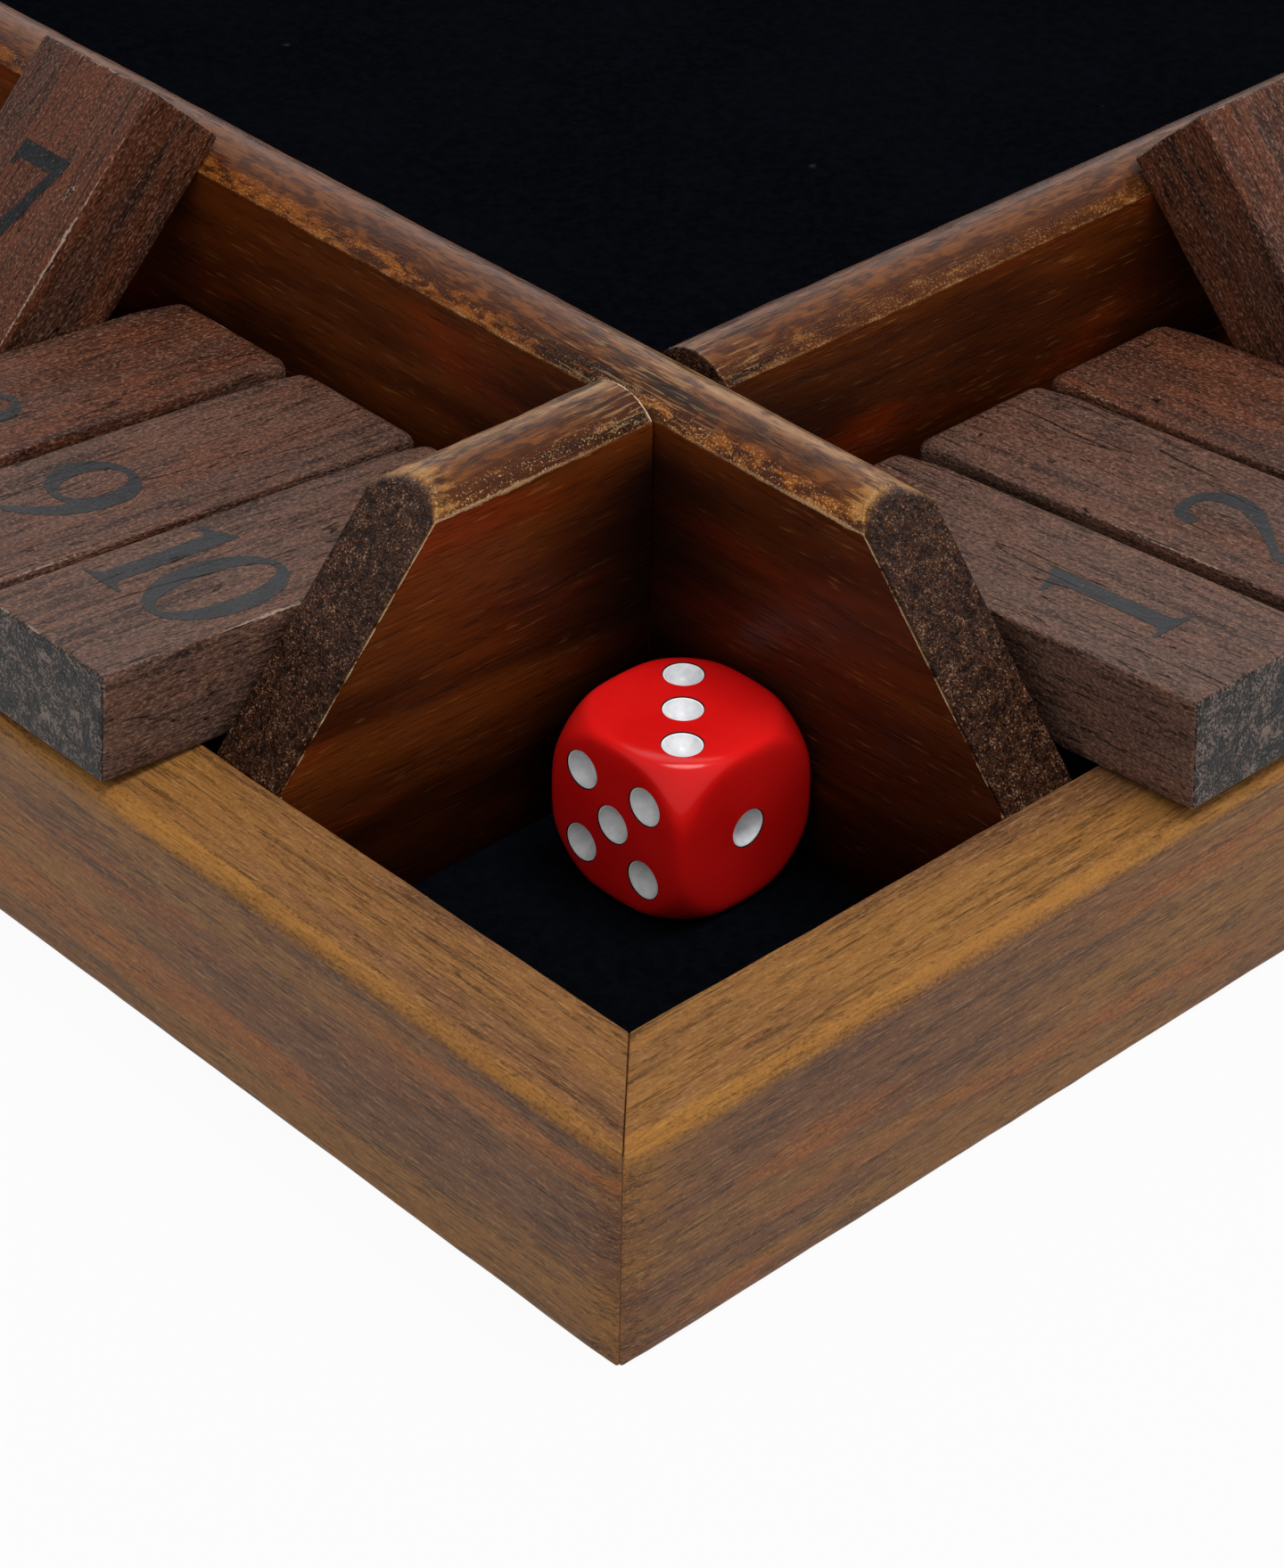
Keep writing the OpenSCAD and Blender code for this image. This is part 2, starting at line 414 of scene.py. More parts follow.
def finishMesh(mesh, body, look=None, smooth=True):
    if look:
        mesh.materials.clear()
        mesh.materials.append(look)
    outward = bmesh.new()
    outward.from_mesh(mesh)
    bmesh.ops.recalc_face_normals(outward, faces=outward.faces)
    outward.to_mesh(mesh)
    outward.free()
    if smooth:
        mesh.shade_smooth()
    else:
        mesh.shade_flat()
    piece = addObject(mesh.name, mesh)
    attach(piece, body)
    return piece


def addBar(name, points, faces, wears, cuts, turn, look, seed):
    # points in millimetres in the bar's own frame; turn places them in the tray
    mesh = bpy.data.meshes.new(name)
    mesh.from_pydata([tuple(p) for p in points], [], faces)
    markMesh(mesh, ownNumbers(seed), wears, cuts)
    merged = bmesh.new()
    merged.from_mesh(mesh)
    bmesh.ops.remove_doubles(merged, verts=merged.verts, dist=bar["weld"])
    merged.to_mesh(mesh)
    merged.free()
    mesh.transform(turn @ Matrix.Scale(mm, 4))
    return finishMesh(mesh, "tray", look)


tray = {
    "half": 150.0,
    "railWidth": 10.5,
    "railHeight": 20.9,
    "topRadius": 1.5,       # the worn outer top edge
    "innerRadius": 0.3,
    "footRadius": 0.9,
    "cornerRadius": 2.2,    # the upright corner where two rails meet
    "rebateDepth": 4.0,
    "rebateHeight": 4.2,
    "mitreGap": 0.24,
    "wobble": 0.12,
    "edgeSteps": 6,
    "spacing": 2.5,         # between two rows of points along a rail
    "golden": paint(150, 102, 50),
    "plum": paint(112, 74, 52),
    "russet": paint(156, 84, 38),
    "streak": paint(60, 38, 24),
    "pore": paint(42, 26, 14),
    "pale": paint(206, 160, 104),
    "worn": paint(178, 122, 56),
    "seam": paint(84, 46, 16),
    "relief": 0.0001,       # metres
    "roughness": 0.50,
    "shine": 0.20,
}
sideTurn = {"front": 0, "left": -90, "back": 180, "right": 90}


def railWood():
    look = Finish("railWood")
    place = look.place()
    wear, seam = look.mark("wear"), look.mark("endGrain")
    broad = look.grain(place, 0.012, 0.10, 3, 0.55, 0.6)
    glow = look.grain(place, 0.024, 0.26, 3, 0.5)
    streak = look.grain(place, 0.05, 0.75, 4, 0.7, 0.3)
    furrow = look.grain(place, 0.11, 1.5, 3, 0.6)
    line = look.grain(place, 0.40, 4.6, 2, 0.6)
    speck = look.grain(place, 2.6, 4.6, 2, 0.6)
    dust = speck - 0.5
    top = look.local(2).between(tray["railHeight"] - 1.5, tray["railHeight"] - 0.3)
    groove = abs(furrow - 0.5).between(0.035, 0.0) * streak.between(0.64, 0.44)
    rubbed = (wear * 0.9 + dust * 1.2 + (glow - 0.5) * 2.6).between(0.30, 1.0)
    wood = layColours(
        tray["plum"], tray,
        (broad.between(0.36, 0.60, 0.1, 0.8) + top * 0.2, "golden"),
        (glow.between(0.53, 0.70) * 0.6, "russet"),
        (streak.between(0.50, 0.34) * 0.40, "streak"),
        (groove * 0.62, "pore"),
        (line.between(0.47, 0.30) * 0.42, "pore"),
        (line.between(0.55, 0.74) * 0.30, "pale"),
        (speck.between(0.46, 0.28) * 0.34, "pore"),
        (speck.between(0.56, 0.76) * 0.34, "pale"),
        (rubbed * 0.56, "worn"),
        ((seam + dust * 1.2).between(0.15, 0.70) * 0.85, "seam"))
    rough = tray["roughness"] + (streak - 0.5) * 0.2 + dust * 0.2
    relief = streak * 0.4 + line * 0.6 + speck * 0.5 - groove * 0.4
    return look.give(Base_Color=wood, Roughness=rough, Specular_IOR_Level=tray["shine"],
                     Normal=look.bump(relief, tray["relief"], 0.9))


def roundTrayCorner(spot):
    radius = tray["cornerRadius"]
    core = tray["half"] - radius
    x, y = abs(spot.x) - core, -spot.y - core
    if x > 0 and y > 0:
        away = math.hypot(x, y)
        if away > radius:
            x, y = x * radius / away, y * radius / away
            spot = Vector((math.copysign(core + x, spot.x), -core - y, spot.z))
    return spot


def buildRails():
    look = railWood()
    outer, inner = -tray["half"], -tray["half"] + tray["railWidth"]
    step = inner - tray["rebateDepth"]
    top, ledge = tray["railHeight"], tray["rebateHeight"]
    profile = roundProfile([
        (outer, 0.0, tray["footRadius"], 0.25), (step, 0.0, 0.3, 0.0), (step, ledge, 0.0, 0.0),
        (inner, ledge, 0.2, 0.0), (inner, top, tray["innerRadius"], 0.45),
        (outer, top, tray["topRadius"], 1.0),
    ], tray["edgeSteps"])
    mitre = steady(tray["mitreGap"])
    ends = [(lambda y, z: y, mitre, steady(0.0), 1.0), (lambda y, z: -y, mitre, steady(0.0), 1.0)]
    for number, (side, angle) in enumerate(sideTurn.items()):
        seed = firstSeed["rail"] + number
        rail = sweepBar(profile, ends, tray["spacing"], tray["wobble"], seed, roundTrayCorner)
        piece = addBar("rail_" + side + "_wood", *rail, spin(angle), look, seed)
        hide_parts("rail_" + side)


buildRails()
print("rails are built")

divider = {
    "middle": 94.2,         # from the tray's centre
    "thickness": 8.2,
    "foot": 5.0,
    "peak": 41.5,
    "crownEdge": 39.6,
    "crownRadius": 5.374,
    "crownSteps": 8,
    "length": 139.45,       # half of it, at the foot
    "slantRun": 18.4,
    "slantFoot": 20.9,
    "edgeRadius": 0.45,
    "endRadius": 0.3,
    "crownEndRadius": 0.5,  # more at the crown
    "lapRadius": 0.16,
    "lapGap": 0.15,
    "bridgeRadius": 0.01,
    "edgeSteps": 4,
    "wobble": 0.16,
    "spacing": 2.0,         # between two rows of points, and on the shorter bars
    "shortSpacing": 1.5,
    "bridgeSpacing": 4,
    "bridgeLap": 2,         # how far a bridge reaches into the bars that it joins
    "deep": paint(64, 25, 4),
    "warm": paint(104, 48, 11),
    "ember": paint(130, 42, 4),
    "streak": paint(28, 12, 4),
    # painted glints along the grain lines of the faces
    "glint": paint(176, 116, 64),
    "crown": paint(70, 32, 8),
    "ridge": paint(112, 62, 22),
    "gilt": paint(154, 82, 16),
    "giltWhole": 0.75,      # how golden the crown's sides are, on whole and on notched ones
    "giltNotched": 0.15,
    # painted sheen on the crown towards its ends
    "paintedSheen": paint(178, 132, 88),
    # also the colour of the painted glints along the crown's crease
    "worn": paint(222, 178, 124),
    "rim": paint(140, 92, 44),
    "rubbedEnd": paint(192, 140, 76),
    # a pale line on the slanted edges: partly wear, partly a painted highlight
    "edge": paint(226, 190, 142),
    "chipped": paint(244, 222, 188),
    # painted shade for the corners of the crossing
    "corner": paint(12, 4, 1),
    "endDark": paint(34, 15, 8),
    "endLight": paint(80, 45, 26),
    "endPit": paint(12, 5, 3),
    # painted glints on the end grain
    "endGlint": paint(176, 138, 108),
    "relief": 0.00016,
    "roughness": 0.38,
    "crownRoughness": 0.30,
    "shine": 0.22,
}
# how far the slanted end leans back for each millimetre up, and where it would meet the ground
divider["slope"] = divider["slantRun"] / (divider["peak"] - divider["slantFoot"])
divider["reach"] = divider["length"] + divider["slantFoot"] * divider["slope"]


def dividerWood(name, gilt):
    look = Finish(name)
    place = look.place()
    wear, end = look.mark("wear"), look.mark("endGrain")
    along, across, height = abs(look.local(0)), look.local(1), look.local(2)
    broad = look.grain(place, 0.016, 0.085, 3, 0.55, 0.5)
    ember = look.grain(place, 0.024, 0.12, 2, 0.5)
    streak = look.grain(place, 0.05, 0.7, 4, 0.66, 0.3)
    furrow = look.grain(place, 0.07, 0.9, 3, 0.6, 0.4)
    line = look.grain(place, 0.30, 3.4, 2, 0.6)
    grit = look.grain(place, 5.0, 5.0, 2, 0.65)
    mottle = look.grain(place, 0.34, 0.95, 4, 0.62, 0.5)
    scaly = look.grain(place, 1.5, 1.9, 3, 0.6)
    blotch, dust, bare = mottle - 0.5, grit - 0.5, 1 - end
    edgeAt, peak = divider["crownEdge"], divider["peak"]
    crown = height.between(edgeAt - 0.3, edgeAt + 0.3)
    # the crown lighter towards its top: a painted highlight mixed with mottled tone
    ridge = height.between(peak - 0.9, peak - 0.1)
    low = height.between(peak - 0.3, peak - 1.3)
    toEnd = divider["reach"] - height * divider["slope"] - along
    outer = toEnd.between(38.0, 22.0)
    # painted sheen on the crown's inner side towards the slanted ends
    paintedSheenMask = outer * across.between(-0.8, 1.8) * mottle.between(0.30, 0.62)
    cap = layColours(
        divider["crown"], divider,
        ((ridge * 0.6 + blotch * 3.0).between(0.20, 0.85), "ridge"),
        ((mottle * 0.7 + ember * 0.3).between(0.44, 0.56) * low * gilt, "gilt"),
        (paintedSheenMask * 0.85, "paintedSheen"))
    wood = layColours(
        divider["deep"], divider,
        (broad.between(0.38, 0.62), "warm"),
        (ember.between(0.50, 0.64) * 0.65, "ember"))
    groove = abs(furrow - 0.5).between(0.022, 0.0) * streak.between(0.60, 0.45)
    # painted shade in the corners of the crossing, and the split crown beside it
    away = abs(along - divider["middle"]) + (broad - 0.5) * 12
    cornerShade = away.between(26.0, 3.0)
    split = away.between(14.0, 7.0) * crown
    # painted glints: bright specks along the crown's worn crease
    paintedGlints = (grit + wear * 0.22 + blotch * 0.40).between(0.66, 0.80)
    paintedGlints = paintedGlints * wear.between(0.05, 0.40) * crown * bare * (outer * 0.6 + 0.4)
    rubbed = (wear + dust * 1.4 + blotch * 2.6).between(0.60, 1.10)
    # pale where hands have rubbed the crown's ends; the pale line on the slanted edges is partly
    # that wear and partly a painted highlight
    pale = (toEnd * -0.35 + blotch * 3.6 + dust * 0.8).between(-0.85, 0.10)
    edge = (wear + blotch * 1.7 + dust * 0.5).between(0.42, 0.70) * (1 - crown)
    edge = edge * toEnd.between(24.0, 2.0)
    chip = (wear + dust * 0.9 + blotch * 1.2).between(0.95, 1.25)
    wood = layColours(
        blendColour(crown, wood, cap), divider,
        (streak.between(0.47, 0.34) * (0.30 + crown * 0.20), "streak"),
        (groove * 0.30, "streak"),
        (line.between(0.46, 0.30) * 0.40, "streak"),
        # painted glints along the grain lines
        (line.between(0.62, 0.74) * 0.26, "glint"),
        (split * streak.between(0.50, 0.44) * 0.75, "streak"),
        (split * line.between(0.54, 0.62) * 0.22, "worn"),
        (paintedGlints * 0.80, "worn"),
        (rubbed * 0.70, "rim"),
        (pale * crown * bare * 0.55, "rubbedEnd"),
        (edge * bare * 0.75, "edge"),
        (chip * crown, "chipped"))
    cut = layColours(
        divider["endDark"], divider,
        ((scaly * 0.5 + mottle * 0.5).between(0.38, 0.62), "endLight"),
        (grit.between(0.45, 0.34) * 0.85, "endPit"),
        # painted glints on the end grain
        ((grit + blotch * 0.45).between(0.58, 0.70) * 0.75, "endGlint"))
    # painted shade darkens the faces below the crown, near the crossing
    wood = layColours(blendColour(end, wood, cut), divider,
                      (cornerShade * height.between(edgeAt + 0.4, edgeAt - 4.6) * 0.92, "corner"))
    rough = crown.between(0.0, 1.0, divider["roughness"], divider["crownRoughness"])
    rough = rough - end * 0.12 + (streak - 0.5) * 0.2
    relief = streak * 0.3 + line * 0.25 + grit * (end * 1.6 + wear * 1.2) - groove * 0.3
    relief = relief + scaly * end * 5.0
    return look.give(Base_Color=wood, Roughness=rough, Specular_IOR_Level=divider["shine"],
                     Normal=look.bump(relief, divider["relief"]))


def dividerProfile():
    half, edge, radius = divider["thickness"] / 2, divider["crownEdge"], divider["crownRadius"]
    slope = math.asin(half / radius)
    steps = divider["crownSteps"]
    side = [(half, divider["foot"], 0.0, 0.0), (half, divider["slantFoot"], 0.0, 0.0),
            (half, edge, divider["edgeRadius"], 0.9)]
    crown = []
    for k in range(1, steps):
        angle = slope - 2 * slope * k / steps
        crown.append((radius * math.sin(angle), divider["peak"] - radius * (1 - math.cos(angle)),
                      0.0, {1: 0.45, 2: 0.12}.get(min(k, steps - k), 0.0)))
    otherSide = [(-corner[0],) + corner[1:] for corner in reversed(side)]
    return roundProfile(side + crown + otherSide, divider["edgeSteps"])


def rise(z, start, height):  # 0 up to a start measured from the crown's edge, then up to 1
    return min(max((z - divider["crownEdge"] - start) / height, 0), 1)


def slantedEnd(z):
    return divider["length"] - divider["slope"] * max(z - divider["slantFoot"], 0)


def slantRadius(z):
    return divider["endRadius"] + divider["crownEndRadius"] * rise(z, 0.15, 1.4)


def wornSlant(z):  # the slanted end's rim is rubbed most at the crown
    return 0.50 + 0.26 * rise(z, -3.6, 4)


def wornLap(z):
    return 1.3 * rise(z, -1.2, 1.5)


def wornInner(z):  # the rim on the far side of a crossing keeps its stain
    return 0.5 * wornLap(z)


def dividerBars(profile, whole, seed):
    # a whole divider is one bar; a notched one is three, joined below its notches by bridges
    def sweep(low, high, spacing):
        return sweepBar(profile, (low, high), spacing, divider["wobble"], seed, None, True)

    slants = [(lambda y, z, way=way: way * slantedEnd(z), slantRadius, wornSlant, 1.0)
              for way in (-1, 1)]
    if whole:
        return [sweep(*slants, divider["spacing"])]

    def lap(x, worn, cut):
        return (lambda y, z: x, steady(divider["lapRadius"]), worn, cut)

    near = divider["middle"] - divider["thickness"] / 2 - divider["lapGap"]
    far = divider["middle"] + divider["thickness"] / 2 + divider["lapGap"]
    bars = [sweep(slants[0], lap(-far, wornLap, 0.0), divider["shortSpacing"]),
            sweep(lap(-near, wornInner, 1.0), lap(near, wornInner, 1.0), divider["spacing"]),
            sweep(lap(far, wornLap, 0.0), slants[1], divider["shortSpacing"])]
    bridge = [(point[0] * 0.98,) + point[1:4] + (0.0,) + point[5:] for point in profile
              if point[1] < divider["slantFoot"] + 0.1]
    near, far = near - divider["bridgeLap"], far + divider["bridgeLap"]
    for way in (-1, 1):
        ends = [(lambda y, z, x=x: x, steady(divider["bridgeRadius"]), steady(0.0), 0)
                for x in sorted((way * near, way * far))]
        bars.append(sweepBar(bridge, ends, divider["bridgeSpacing"], 0, seed))
    return bars


def joinBars(bars):
    points, faces, wears, cuts = [], [], [], []
    for morePoints, moreFaces, moreWears, moreCuts in bars:
        start = len(points)
        points += morePoints
        faces += [tuple(i + start for i in face) for face in moreFaces]
        wears += moreWears
        cuts += moreCuts
    return points, faces, wears, cuts


def buildDividers():
    looks = {True: dividerWood("dividerWood", divider["giltWhole"]),
             False: dividerWood("lappedWood", divider["giltNotched"])}
    profile = dividerProfile()
    for number, (side, angle) in enumerate(sideTurn.items()):
        seed = firstSeed["divider"] + number
        whole = side in ("left", "right")
        turn = spin(angle) @ Matrix.Translation((0, -divider["middle"] * mm, 0))
        piece = addBar("divider_" + side + "_wood", *joinBars(dividerBars(profile, whole, seed)),
                       turn, looks[whole], seed)
        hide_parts("divider_" + side)


buildDividers()
print("dividers are built")

tile = {
    "width": 16.1,
    "nose": 29.595,
    "tail": 18.33,
    "thickness": 10.0,
    "edgeRadius": 0.34,
    "hingeRadius": 1.5,
    "bore": 1.58,
    "cells": (17, 41, 11),  # points along, across and up
    "boreSteps": 28,
    "wobble": 0.05,
    "wobbleScale": 0.35,
    "lieAngle": 4.593,
    "leanAngle": 133.91,
    "leaning": ("tile_front_4", "tile_left_7"),
    "brown": paint(80, 45, 31),
    "red": paint(100, 51, 28),
    "grey": paint(114, 92, 82),
    "crack": paint(16, 9, 7),
    "fleck": paint(178, 132, 106),
    "endDark": paint(6, 4, 4),
    "endLight": paint(136, 114, 102),
    "worn": paint(186, 164, 146),
    "relief": 0.0002,
    "roughness": 0.42,
    "shine": 0.30,
}


def tileGrain(look):  # the ink shows the same grain as the wood beneath it
    place = look.place()
    turned = look.combine(place.part(1), place.part(0), place.part(2))  # along the second axis
    streak = look.grain(turned, 0.07, 0.9, 4, 0.62, 0.4)
    crack = look.grain(turned, 0.025, 0.30, 2, 0.5, 0.5)
    speck = look.grain(turned, 2.4, 4.4, 2, 0.6)
    gape = abs(crack - 0.5).between(0.008, 0.0) * streak.between(0.49, 0.55)
    return turned, streak, speck, gape


def tileWood():
    look = Finish("tileWood")
    turned, streak, speck, gape = tileGrain(look)
    wear, end = look.mark("wear"), look.mark("endGrain")
    tone = look.mark("piece", "Vector").part(1)  # how much the stain is rubbed away
    broad = look.grain(turned, 0.035, 0.20, 3, 0.55, 0.6)
    ashen = look.grain(turned, 0.04, 0.24, 2, 0.5)
    line = look.grain(turned, 0.30, 2.6, 3, 0.7)
    ring = look.grain(turned, 0.9, 0.5, 5, 0.75, 1.2)
    face = layColours(
        tile["brown"], tile,
        (broad.between(0.40, 0.60), "red"),
        ((ashen - 0.5 + tone).between(0.15, 1.0) * 0.55, "grey"),
        (streak.between(0.49, 0.35) * 0.58, "crack"),
        (line.between(0.48, 0.33) * 0.8, "crack"),
        (gape * 0.9, "crack"),
        (speck.between(0.50, 0.33) * 0.46, "crack"),
        (speck.between(0.51, 0.71) * 0.42, "fleck"))
    fuzz = speck * 0.45 + ring * 0.55
    cut = blendColour(fuzz.between(0.48, 0.59), tile["endDark"], tile["endLight"])
    rubbed = (wear + (speck - 0.5) * 1.4 + (broad - 0.5) * 5.0).between(1.2, 1.5)
    face = layColours(blendColour(end, face, cut), tile, (rubbed * 0.6, "worn"))
    rough = tile["roughness"] + (speck - 0.5) * 0.25
    relief = streak * 0.6 + speck * 1.2 + line * 0.8 - gape * 1.5 + ring * end * 3.0
    return look.give(Base_Color=face, Roughness=rough, Specular_IOR_Level=tile["shine"],
                     Normal=look.bump(relief, tile["relief"]))


def tileTree():
    tree = bpy.data.node_groups.new("roundedTile", "GeometryNodeTree")
    sizes = [("Width", tile["width"]), ("Nose", tile["nose"]), ("Tail", tile["tail"]),
             ("Thickness", tile["thickness"]), ("Edge Radius", tile["edgeRadius"]),
             ("Hinge Radius", tile["hingeRadius"]), ("Bore", tile["bore"]),
             ("Wobble", tile["wobble"]), ("Seed", 0.0)]
    for label, value in sizes:
        socket = tree.interface.new_socket(label, in_out="INPUT", socket_type="NodeSocketFloat")
        socket.default_value = value
    tree.interface.new_socket("Material", in_out="INPUT", socket_type="NodeSocketMaterial")
    tree.interface.new_socket("Geometry", in_out="OUTPUT", socket_type="NodeSocketGeometry")
    base = Signal(tree)
    given = tree.nodes.new("NodeGroupInput")
    size = {label: Signal(tree, given.outputs[label]) for label, value in sizes}
    half = base.combine(size["Width"] * 0.5, (size["Nose"] + size["Tail"]) * 0.5,
                        size["Thickness"] * 0.5)
    away = (size["Tail"] - size["Nose"]) * 0.5
    centre = base.combine(size["Width"] * 0.5, away)
    spot = base.node("GeometryNodeInputPosition")

    def step(kind, body, settings=None, **sockets):  # a node that the geometry passes through
        named = {name.replace("_", " "): value for name, value in sockets.items()}
        return base.node("GeometryNode" + kind, settings, {"Geometry": body, **named})

    def rounded(where):  # the core point and the way out of it, in shares of the radius
        hinge = (where.part(1) + away).between(tile["tail"] - 6, tile["tail"] - 0.5)
        soft = size["Edge Radius"] + hinge * (size["Hinge Radius"] - size["Edge Radius"])
        radius = base.combine(soft, soft, soft * 0.8)
        limit = half.vector("SUBTRACT", radius)
        core = where.vector("MINIMUM", limit)
        core = core.vector("MAXIMUM", limit.vector("MULTIPLY", (-1, -1, -1)))
        return core, where.vector("SUBTRACT", core).vector("DIVIDE", radius), radius

    cube = base.node("GeometryNodeMeshCube", None, {
        "Size": (2, 2, 2), **dict(zip(("Vertices X", "Vertices Y", "Vertices Z"), tile["cells"]))})
    spread = spot.vector("MULTIPLY", (math.pi / 2,) * 3).vector("SINE")
    core, way, radius = rounded(spread.vector("MULTIPLY", half))
    unit = way.vector("NORMALIZE")
    shaped = core.vector("ADD", unit.vector("MULTIPLY", radius))
    rough = base.node("ShaderNodeTexNoise", {"noise_dimensions": "4D"},
                      {"Vector": shaped, "W": size["Seed"], "Scale": tile["wobbleScale"],
                       "Detail": 3.0}, 1)
    cubed = unit.vector("MULTIPLY", unit.vector("MULTIPLY", unit))
    rim = (1 - unit.vector("DOT_PRODUCT", cubed, output=1)) * 3.0
    push = size["Wobble"] * (0.3 + rim)
    shift = rough.vector("SUBTRACT", (0.5, 0.5, 0.5)).vector("MULTIPLY",
                                                             base.combine(push, push, push))
    body = step("SetPosition", cube, Position=shaped.vector("ADD", shift))
    rod = base.node("GeometryNodeMeshCylinder", None, {
        "Vertices": tile["boreSteps"], "Radius": size["Bore"], "Depth": size["Width"] + 4})
    rod = step("Transform", rod, Translation=centre.vector("MULTIPLY", (0, -1, 0)),
               Rotation=(0, math.pi / 2, 0))
    body = base.node("GeometryNodeMeshBoolean", {"operation": "DIFFERENCE", "solver": "MANIFOLD"},
                     {"Mesh 1": body, "Mesh 2": rod})
    core, way, radius = rounded(spot)
    unit = way.vector("NORMALIZE")
    deep = way.vector("LENGTH", output=1).between(0.2, 0.5)
    flat = unit.vector("ABSOLUTE")
    most = base.maths("MAXIMUM", base.maths("MAXIMUM", flat.part(0), flat.part(1)), flat.part(2))
    marks = {"wear": most.between(0.985, 0.80) * deep,
             "endGrain": flat.part(1).between(0.60, 0.80) * deep}
    for label, value in marks.items():
        body = step("StoreNamedAttribute", body, {"data_type": "FLOAT", "domain": "POINT"},
                    Name=label, Value=value)
    body = step("Transform", body, Translation=centre)
    body = step("StoreNamedAttribute", body, {"data_type": "FLOAT_VECTOR", "domain": "POINT"},
                Name="local", Value=spot)
    body = step("RealizeInstances", body)
    body = step("SetMaterial", body, Material=Signal(tree, given.outputs["Material"]))
    out = tree.nodes.new("NodeGroupOutput")
    base.feed(out.inputs[0], body)
    return tree


def growMesh(tree, name, **inputs):
    # evaluates the tree once and keeps the result as a plain mesh
    holder = addObject(name + "_nodes", bpy.data.meshes.new(name + "_nodes"))
    steps = holder.modifiers.new("tree", "NODES")
    steps.node_group = tree
    for item in tree.interface.items_tree:
        if item.in_out == "INPUT" and item.name in inputs:
            steps[item.identifier] = inputs[item.name]
    graph = bpy.context.evaluated_depsgraph_get()
    mesh = bpy.data.meshes.new_from_object(holder.evaluated_get(graph))
    bpy.data.objects.remove(holder)
    mesh.name = name
    return mesh


def tilePlace(name, joint):
    turn = spin(sideTurn[name.split("_")[1]])
    hinge = turn.inverted() @ Vector(joint["pos_m"])
    swing = tile["leanAngle"] if name in tile["leaning"] else tile["lieAngle"]
    start = Matrix.Translation(hinge - Vector((tile["width"] / 2 * mm, 0, 0)))
    return turn @ start @ spin(-swing, "X")


def tileNumbers(name, number):
    own = ownNumbers(firstSeed["tile"] + number)
    rank = int(name.split("_")[2])
    own[1] = (abs(rank - 5.5) / 4.5) ** 1.6  # the end tiles of a row are rubbed most
    return own


def buildTiles():
    look, tree = tileWood(), tileTree()
    for number, (name, place) in enumerate(sorted(tilePlaces.items())):
        mesh = growMesh(tree, name + "_wood", Seed=float(number) * 3.7, Material=look)
        markPiece(mesh, tileNumbers(name, number))
        mesh.transform(place @ Matrix.Scale(mm, 4))
        piece = finishMesh(mesh, name, look)
        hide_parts(name)


tilePlaces = {joint["child"]: tilePlace(joint["child"], joint) for joint in frame["joints"]
              if joint["child"].startswith("tile_")}
buildTiles()
print("tiles are built")

numeral = {
    "height": 13.9,
    "centre": -13.5,       # from the hinge towards the tile's outer end
    "lift": 0.035,
    "sink": 0.12,
    "nudge": {"2": -0.35, "9": -0.95},
    "ten": (-4.4, 2.1),
    "ringSteps": 56,
    "penSteps": 8,
    "ink": paint(10, 14, 18),
    "faded": paint(28, 31, 36),
    "fleck": tile["fleck"],
    "crack": tile["crack"],
}
